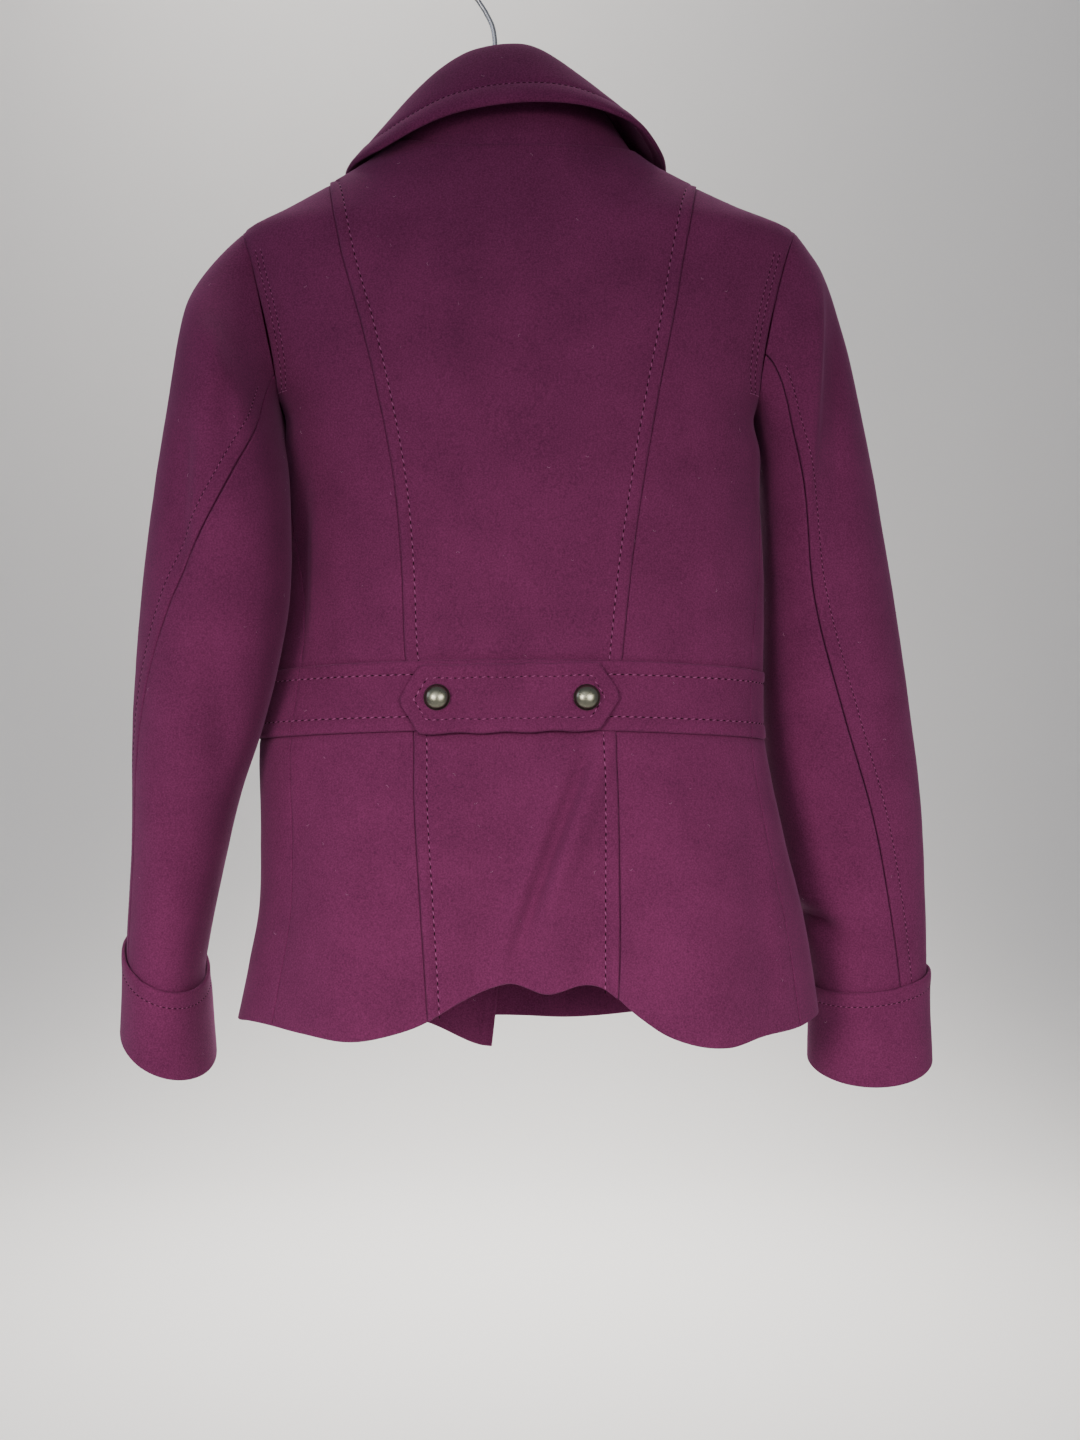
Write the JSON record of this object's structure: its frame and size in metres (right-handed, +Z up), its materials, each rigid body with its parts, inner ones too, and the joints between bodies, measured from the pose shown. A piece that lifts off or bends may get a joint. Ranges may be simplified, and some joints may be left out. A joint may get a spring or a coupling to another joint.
{
  "type": "double-breasted coat on a hanger",
  "caption": "Short double-breasted wool coat hung on a plain hanger, with shaped back seams, a buttoned back tab on a waistband, turned-back cuffs and a waved hem.",
  "frame": {"origin": "where a rail carries the hook: the underside of the top of its bend", "axes": "+Z up along the hook's shank, -Y out of the coat's back, +X to the wearer's right"},
  "size_m": [0.6072, 0.2075, 0.8434],
  "materials": {
    "wool_melton": "felted plum wool, matt, with a short nap",
    "pewter": "antique pewter, domed, worn bright",
    "steel_wire": "bright drawn wire",
    "beech": "plain, sanded"
  },
  "bodies": {
    "root": {"back_centre": "wool_melton", "back_side_left": "wool_melton", "back_side_right": "wool_melton", "front_left": "wool_melton", "front_right": "wool_melton", "skirt_back_centre": "wool_melton", "skirt_back_side_left": "wool_melton", "skirt_back_side_right": "wool_melton", "skirt_front_left": "wool_melton", "skirt_front_right": "wool_melton", "waistband_back": "wool_melton", "waistband_front_left": "wool_melton", "waistband_front_right": "wool_melton", "over_sleeve_left": "wool_melton", "over_sleeve_right": "wool_melton", "under_sleeve_left": "wool_melton", "under_sleeve_right": "wool_melton", "cuff_left": "wool_melton", "cuff_right": "wool_melton", "collar_stand": "wool_melton", "collar_fall": "wool_melton", "back_tab": "wool_melton", "tab_button_left": "pewter", "tab_button_right": "pewter", "front_button_left_1": "pewter", "front_button_right_1": "pewter", "front_button_left_2": "pewter", "front_button_right_2": "pewter", "front_button_left_3": "pewter", "front_button_right_3": "pewter", "hanger_bar": "beech", "hanger_hook": "steel_wire"}
  },
  "joints": []
}
